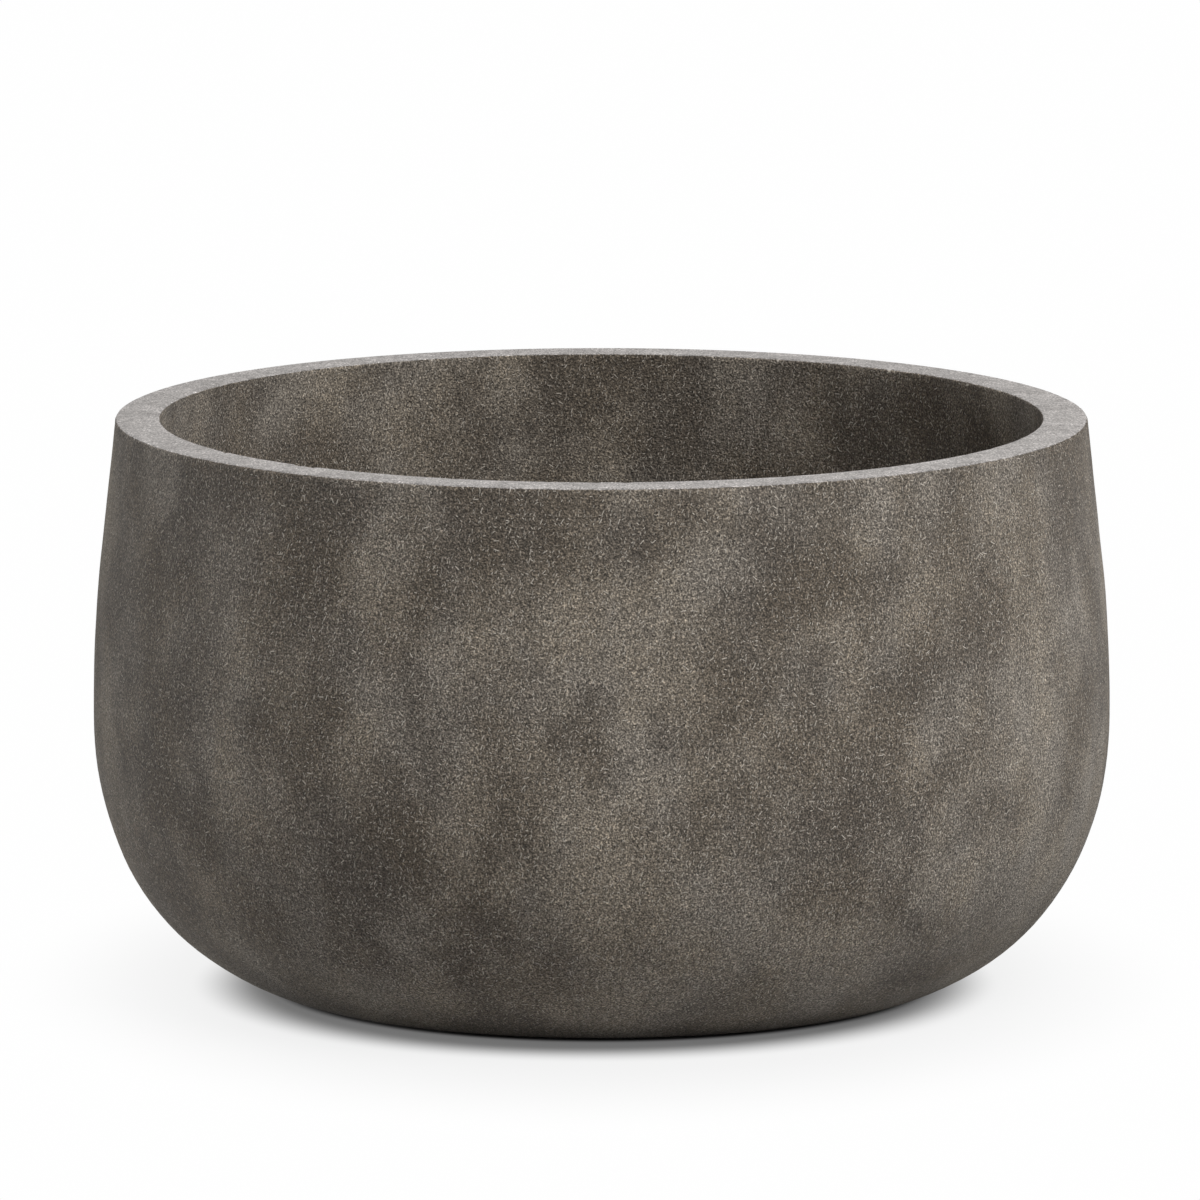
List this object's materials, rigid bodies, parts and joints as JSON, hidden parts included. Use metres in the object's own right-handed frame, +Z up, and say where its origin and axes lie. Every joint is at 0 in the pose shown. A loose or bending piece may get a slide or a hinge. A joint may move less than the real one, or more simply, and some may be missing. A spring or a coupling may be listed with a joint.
{
  "type": "tabletop planter",
  "caption": "Round fibre-cement tabletop planter with an incurved wall, flat rim and foot ring. A rubber plug in the floor lifts out to open the drain hole.",
  "frame": {"origin": "centre of the base, on the surface that the foot pads stand on", "axes": "+Z up along the bowl's axis of rotation, through the drain hole; +X along the plug's tab"},
  "size_m": [0.32, 0.32, 0.18],
  "materials": {
    "fibre_cement": "matt",
    "plug_rubber": "matt",
    "pad_rubber": "matt"
  },
  "bodies": {
    "bowl": {"bowl_shell": "fibre_cement", "foot_pad_1": "pad_rubber", "foot_pad_2": "pad_rubber", "foot_pad_3": "pad_rubber", "foot_pad_4": "pad_rubber"},
    "plug": {"drain_plug": "plug_rubber"}
  },
  "joints": [
    {"name": "plug_lift", "type": "slide", "parent": "bowl", "child": "plug", "axis": [0, 0, 1], "range_m": [0, 0.2]}
  ]
}
